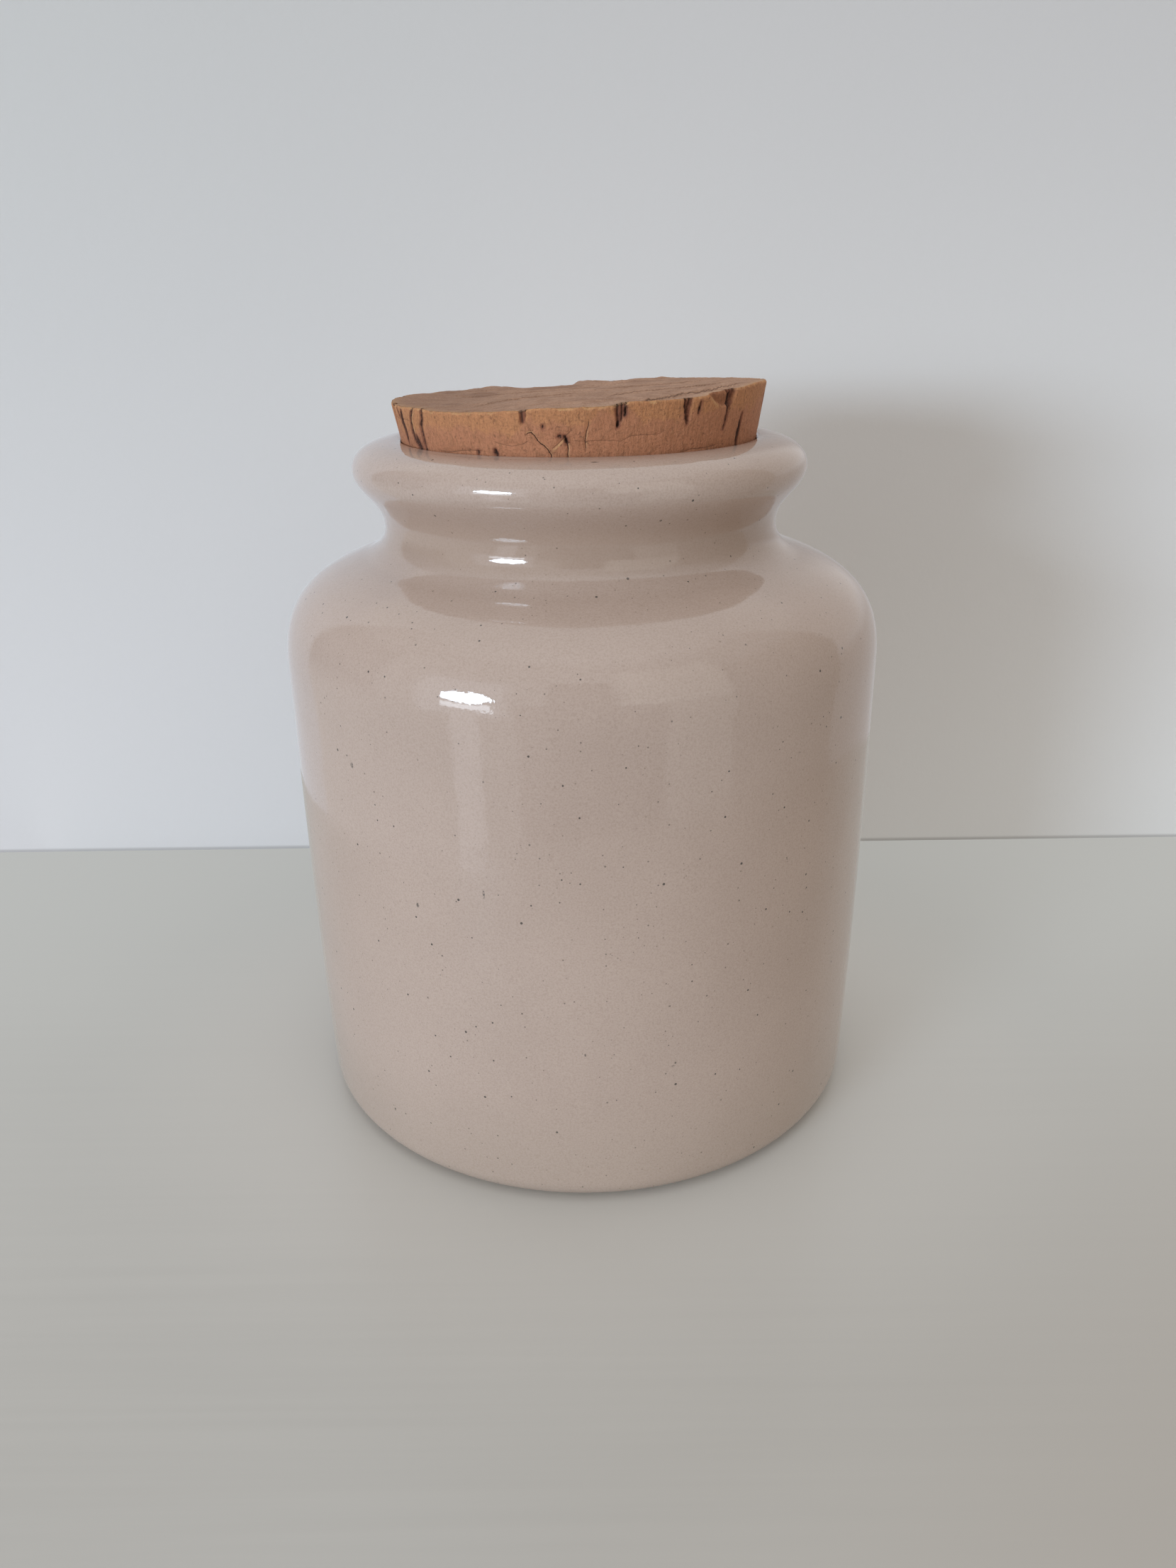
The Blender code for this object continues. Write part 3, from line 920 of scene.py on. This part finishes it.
def add_side(cork):
    angle, x_way, y_way = ring_angles(CORK_SEGMENTS)
    edge = edge_height(angle, x_way, y_way)
    hidden = np.linspace(FOOT_LEVEL, SEEN_LEVEL, CORK_HIDDEN_ROWS, endpoint=False)
    rows = [np.full_like(angle, height) for height in hidden]
    # The rows stand closer together towards the top edge
    shown = 1 - (1 - np.linspace(0, 1, CORK_SIDE_ROWS)) ** 1.12
    rows += [SEEN_LEVEL + (edge - SEEN_LEVEL) * share for share in shown]
    ragged = 0.5 + 0.9 * fractal(level_points(x_way, y_way), 26.0, 3, seed=6.0)
    bevel = np.clip(0.12 + 0.24 * ragged, 0.05, 0.5)
    for height in rows:
        points = np.stack([x_way * 30, y_way * 30, height], axis=1)
        wander = fractal(points, 0.9, 3, seed=3.0)
        marks = side_marks(angle, height, edge, wander)
        chip = chipped(angle, height)
        broad = 0.10 * fractal(points, 0.07, 2, seed=4.0)
        grain = 0.030 * fractal(points * (1, 1, 0.22), 1.3, 2, seed=7.0)
        below = edge - height
        worn = bevel * (1 - smooth(below, 0.0, 0.25 + 0.8 * bevel)) ** 2
        foot_round = 0.8 * (1 - smooth(height - FOOT_LEVEL, -0.3, 1.0)) ** 2
        torn = chip * (0.50 + 0.22 * wander)
        inset = marks.pop("depth") + torn + worn + foot_round - broad - grain
        radius = cork_radius(height * MM) - inset * MM
        # Painted highlight along the worn top edge
        pale = 0.6 * (worn > 0.03) * np.clip(ragged, 0, 1) * (1 - chip)
        marks["pale"] = np.maximum(marks["pale"], pale)
        marks["red"] = np.maximum(marks["red"], 0.55 * chip)
        cork.add(radius * x_way, radius * y_way, height * MM, below_edge=below, **marks)


def add_top(cork):
    reach = cork_radius(CORK_RISE)
    for share, segments in CORK_TOP_RINGS:
        angle, x_way, y_way = ring_angles(segments)
        edge = edge_height(angle, x_way, y_way)
        wander = fractal(np.stack([x_way * 30, y_way * 30, edge], axis=1), 0.9, 3, seed=3.0)
        marks = side_marks(angle, edge, edge, wander)
        chip = chipped(angle, edge)
        inset = (chip * (0.50 + 0.22 * wander) + 0.22) * MM
        radius = share * (reach - inset)
        x, y = radius * x_way, radius * y_way
        slope = CORK_TOP_SLOPE_X * x_way + CORK_TOP_SLOPE_Y * y_way
        to_edge = smooth(share, 0.55, 1.0)
        near = smooth(share, 0.93, 1.0)
        points = level_points(x, y)
        stray = fractal(points, 240.0, 2, seed=9.0)
        layers = terraces(x, y) - 0.35
        at_edge = terraces(reach * x_way, reach * y_way) - 0.35
        # The ledges also give the painted shade lines at their feet, carried as crack and strength
        drop, crack, strength = ledges(x, y, stray)
        pits, face_pore = face_pores(x, y, np.random.default_rng(77))
        rough = 0.05 * fractal(points, 700.0, 3, seed=1.0)
        lift = layers - to_edge * at_edge - pits - drop * (1 - near) + rough * (1 - 0.5 * near)
        rise = (edge * MM - CORK_RISE - reach * slope) * to_edge
        notch = 0.5 * marks["depth"] * smooth(share, 0.96, 1.0)
        z = CORK_RISE + radius * slope + rise + (lift - notch) * MM
        pore = np.maximum(face_pore, marks["pore"] * near)
        red = np.maximum(0.55 * stained(x, y, stray), marks["red"] * near)
        strength = strength * (1 - 0.5 * near)
        # Painted highlight round the top near its edge
        cork.add(x, y, z, pore=pore, red=red, pale=0.3 * near, top=1.0, crack=crack,
                 strength=strength)


def make_cork():
    cork = CorkRings()
    add_underside(cork)
    add_side(cork)
    add_top(cork)
    rings = [to_row(ring) for ring in cork.rings]
    piece = closed_rings("cork_stopper", rings, cork.attributes())
    piece.data.materials.append(cork_material())
    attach(piece, "stopper")
    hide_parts("stopper")


def cork_material():
    """Raw cork: ochre and pinkish brown, greyer on top, dark pores, paler flakes, painted edge
    highlights and ledge shade.
    """
    material, nodes = new_material("cork")
    place = nodes.place()
    x, _, _ = nodes.xyz(place)
    pore, red, pale, top, below, crack, strength = (nodes.attribute(name) for name in CORK_SHOWS)
    on_side = nodes.math("SUBTRACT", 1.0, top)
    cloud = nodes.noise(place, 110.0, 3.0, 0.6)
    patch = nodes.noise(nodes.stretched(place, 1.0, 1.0, 0.6), 95.0, 4.0, 0.62)
    streaks = nodes.noise(nodes.stretched(place, 1.0, 1.0, 0.18), 2100.0, 3.0, 0.65)
    scratches = nodes.noise(nodes.stretched(place, 1.0, 1.0, 0.07), 3600.0, 2.0, 0.6)
    grain = nodes.noise(place, 2600.0, 3.0, 0.7)
    blotch = nodes.noise(place, 320.0, 3.0, 0.6)
    pits = nodes.ramp(nodes.noise(place, 1500.0, 2.0, 0.6), 0.62, 0.72)
    ochre = nodes.mix(cloud, (0.550, 0.251, 0.112), (0.480, 0.210, 0.092))
    pink = nodes.mix(cloud, (0.517, 0.228, 0.121), (0.440, 0.183, 0.091))
    depth = nodes.math("MULTIPLY_ADD", patch, 13.0, nodes.math("SUBTRACT", below, 8.4))
    depth = nodes.math("MULTIPLY_ADD", streaks, 1.2, depth)
    side = nodes.over(
        ochre,
        (nodes.ramp(depth, 0.6, 2.0), pink),
        (nodes.ramp(streaks, 0.42, 0.72, 0.0, 0.42), (0.270, 0.112, 0.050)),
        (nodes.ramp(streaks, 0.60, 0.80, 0.0, 0.35), (0.580, 0.320, 0.150)),
        (nodes.ramp(scratches, 0.56, 0.74, 0.0, 0.50), (0.200, 0.080, 0.036)),
    )
    face = nodes.over(
        (0.457, 0.268, 0.174),
        (nodes.ramp(blotch, 0.38, 0.66), (0.362, 0.204, 0.128)),
        (nodes.ramp(cloud, 0.45, 0.75, 0.0, 0.35), (0.450, 0.290, 0.205)),
        (nodes.ramp(x, -24.0 * MM, -6.0 * MM, 0.45, 0.0), (0.250, 0.140, 0.088)),
    )
    side_stain = nodes.mix(streaks, (0.100, 0.028, 0.018), (0.270, 0.090, 0.050))
    face_stain = nodes.mix(blotch, (0.150, 0.070, 0.040), (0.260, 0.140, 0.088))
    # Painted highlight along one side of each strong crack, and the dark gap in its middle
    lip = nodes.times(
        nodes.ramp(crack, 1.2, 2.2),
        nodes.ramp(crack, 2.2, 4.4, 0.75, 0.0),
        nodes.ramp(strength, 0.55, 0.95),
        on_side,
        nodes.ramp(blotch, 0.38, 0.62, 0.2, 1.0),
    )
    # The same dark line is painted shade at the feet of the ledges on the top
    crack_gap_and_ledge_shade = nodes.times(nodes.ramp(nodes.math("ABSOLUTE", crack), 0.5, 1.35, 1.0, 0.0), strength)
    colour = nodes.over(
        side,
        (top, face),
        (nodes.ramp(grain, 0.42, 0.70, 0.0, 0.45), (0.215, 0.105, 0.058)),
        (nodes.times(pits, 0.45), (0.140, 0.062, 0.034)),
        (nodes.times(red, 0.86), nodes.mix(top, side_stain, face_stain)),
        # Paler flake edges, and painted highlight along and round the top edge
        (nodes.times(pale, nodes.ramp(grain, 0.25, 0.6)), (0.660, 0.390, 0.180)),
        (lip, (0.640, 0.380, 0.185)),
        (nodes.times(crack_gap_and_ledge_shade, 0.92), (0.045, 0.020, 0.012)),
        (nodes.ramp(pore, 0.15, 0.95, 0.0, 0.90), (0.040, 0.018, 0.012)),
    )
    waves = (
        (grain, 0.19 * MM),
        (nodes.noise(place, 800.0, 2.0, 0.5), 0.22 * MM),
        (pits, -0.05 * MM),
        (nodes.times(nodes.math("ADD", streaks, scratches), on_side), 0.06 * MM),
        (crack_gap_and_ledge_shade, -0.10 * MM),
    )
    roughness = nodes.ramp(grain, 0.3, 0.7, 0.72, 0.90)
    nodes.close(nodes.surface(colour, roughness, waves, 0.8, {"Specular IOR Level": 0.35}))
    return material


# ---- the stage
def make_floor():
    """A pale painted table top. Past its edge the jar reflects the room."""
    half = TABLE_HALF_WIDTH
    corners = [(-half, -half, 0), (half, -half, 0), (half, half, 0), (-half, half, 0)]
    floor = make_sheet("floor", corners)
    material, nodes = new_material("painted_table")
    place = nodes.place()
    x, y, _ = nodes.xyz(place)
    radius = nodes.off_axis(place)
    strokes = nodes.noise(nodes.stretched(place, 9.0, 420.0, 1.0), 1.0, 6.0, 0.62)
    cloud = nodes.noise(nodes.stretched(place, 3.0, 9.0, 1.0), 1.0, 3.0, 0.5)
    tone = nodes.ramp(nodes.math("MULTIPLY_ADD", strokes, 0.5, cloud), 0.55, 0.95)
    colour = nodes.over(
        (0.520, 0.505, 0.470),
        (tone, (0.552, 0.537, 0.500)),
        # Cooler towards the back edge
        (nodes.ramp(y, -0.10, 0.08), (0.580, 0.582, 0.548)),
        # Painted shade: browner and darker towards the front right
        (nodes.ramp(nodes.math("SUBTRACT", x, y), 0.07, 0.23), (0.470, 0.430, 0.380)),
        # Painted light: paler round the jar, which lifts the jar's shadow on the table
        (nodes.ramp(radius, 0.9 * BODY_RADIUS, 2.0 * BODY_RADIUS, 0.55, 0.0), (0.720, 0.690, 0.640)),
    )
    shader = nodes.surface(colour, 0.30, [(strokes, 0.030 * MM)], 0.6, {"IOR": 1.45})
    seen = nodes.add("ShaderNodeLightPath", output="Is Camera Ray")
    from_middle = nodes.off_axis(nodes.moved(place, -TABLE_MIDDLE, 0.0, 0.0))
    table_edge = nodes.ramp(from_middle, TABLE_REACH, TABLE_REACH + 6 * MM)
    fade = nodes.add("ShaderNodeMix", {0: seen, 2: table_edge, 3: nodes.ramp(radius, 0.5, 1.4)})
    nodes.close(shader, fade)
    floor.data.materials.append(material)


def make_backdrop():
    """A pale wall behind the table, clear from behind, that takes no part in the jar's light."""
    wide, tall, y = WALL_HALF_WIDTH, WALL_HEIGHT, TABLE_BACK_EDGE
    wall = make_sheet("backdrop", [(-wide, y, 0), (wide, y, 0), (wide, y, tall), (-wide, y, tall)])
    wall.visible_diffuse = False
    wall.visible_glossy = False
    wall.visible_shadow = False
    material, nodes = new_material("painted_wall")
    place = nodes.place()
    x, _, z = nodes.xyz(place)
    stipple = nodes.noise(place, 420.0, 3.0, 0.6)
    # Painted light: paler low down, and most of all on the right, where it lifts the jar's shadow on
    # the wall
    across = nodes.ramp(x, -0.16, 0.11)
    lower = nodes.mix(across, (0.715, 0.695, 0.690), (0.865, 0.852, 0.835))
    upper = nodes.mix(across, (0.572, 0.562, 0.538), (0.600, 0.580, 0.565))
    colour = nodes.over(
        lower,
        (nodes.ramp(z, 0.0, 0.26), upper),
        # Painted shade: a thin dark line where the wall meets the table
        (nodes.ramp(z, 0.3 * MM, 1.3 * MM, 0.45, 0.0), (0.22, 0.21, 0.20)),
    )
    shader = nodes.surface(colour, 0.6, [(stipple, 0.12 * MM)], 0.5, {"IOR": 1.4})
    behind = nodes.add("ShaderNodeNewGeometry", output="Backfacing")
    sides = nodes.ramp(nodes.math("ABSOLUTE", x), 0.5, 1.15)
    fade = nodes.math("MAXIMUM", behind, nodes.math("MAXIMUM", sides, nodes.ramp(z, 0.45, 0.95)))
    nodes.close(shader, fade)
    wall.data.materials.append(material)


def make_sheet(name, corners):
    """A flat sheet of the stage through four corners."""
    mesh = bpy.data.meshes.new(name)
    mesh.from_pydata(corners, [], [(0, 1, 2, 3)])
    sheet = new_object(name, mesh)
    return sheet


def make_world():
    """A soft room round the jar, which its glaze reflects, behind plain pale surroundings."""
    world = bpy.data.worlds.new("room")
    bpy.context.scene.world = world
    world.use_nodes = True
    nodes = Nodes(world.node_tree)
    way = nodes.add("ShaderNodeTexCoord", output="Generated")
    right, back, up = nodes.xyz(way)
    front = nodes.times(back, -1.0)
    azimuth = nodes.times(nodes.math("ARCTAN2", right, front), math.degrees(1))
    elevation = nodes.times(nodes.math("ARCSINE", up), math.degrees(1))
    light = CEILING_LIGHT
    for left, right_end, low, high, side_soft, end_soft, colour in ROOM:
        inside = nodes.times(
            nodes.band(azimuth, left, right_end, side_soft),
            nodes.band(elevation, low, high, end_soft),
        )
        light = nodes.mix(inside, light, colour)
    seen = nodes.add("ShaderNodeLightPath", output="Is Camera Ray")
    colour = nodes.mix(seen, light, SURROUNDINGS)
    background = nodes.add("ShaderNodeBackground", {"Color": colour, "Strength": 1.0})
    nodes.add("ShaderNodeOutputWorld", {"Surface": background})


def make_window():
    """A small bright window to the left of the camera."""
    level = math.cos(WINDOW_ELEVATION)
    x, y = -math.sin(WINDOW_AZIMUTH) * level, -math.cos(WINDOW_AZIMUTH) * level
    way = Vector((x, y, math.sin(WINDOW_ELEVATION)))
    data = bpy.data.lights.new("window", "AREA")
    data.shape = "ELLIPSE"
    data.size = WINDOW_WIDTH
    data.size_y = WINDOW_HEIGHT
    data.energy = WINDOW_POWER
    data.color = WINDOW_COLOUR
    light = new_object("window", data)
    light.location = way * WINDOW_DISTANCE + Vector((0, 0, WINDOW_AIM_HEIGHT))
    light.rotation_mode = "QUATERNION"
    light.rotation_quaternion = way.to_track_quat("Z", "Y")


bpy.context.scene.view_settings.view_transform = "Standard"
make_camera()
make_world()
make_window()
make_floor()
make_backdrop()
make_jar()
make_cork()
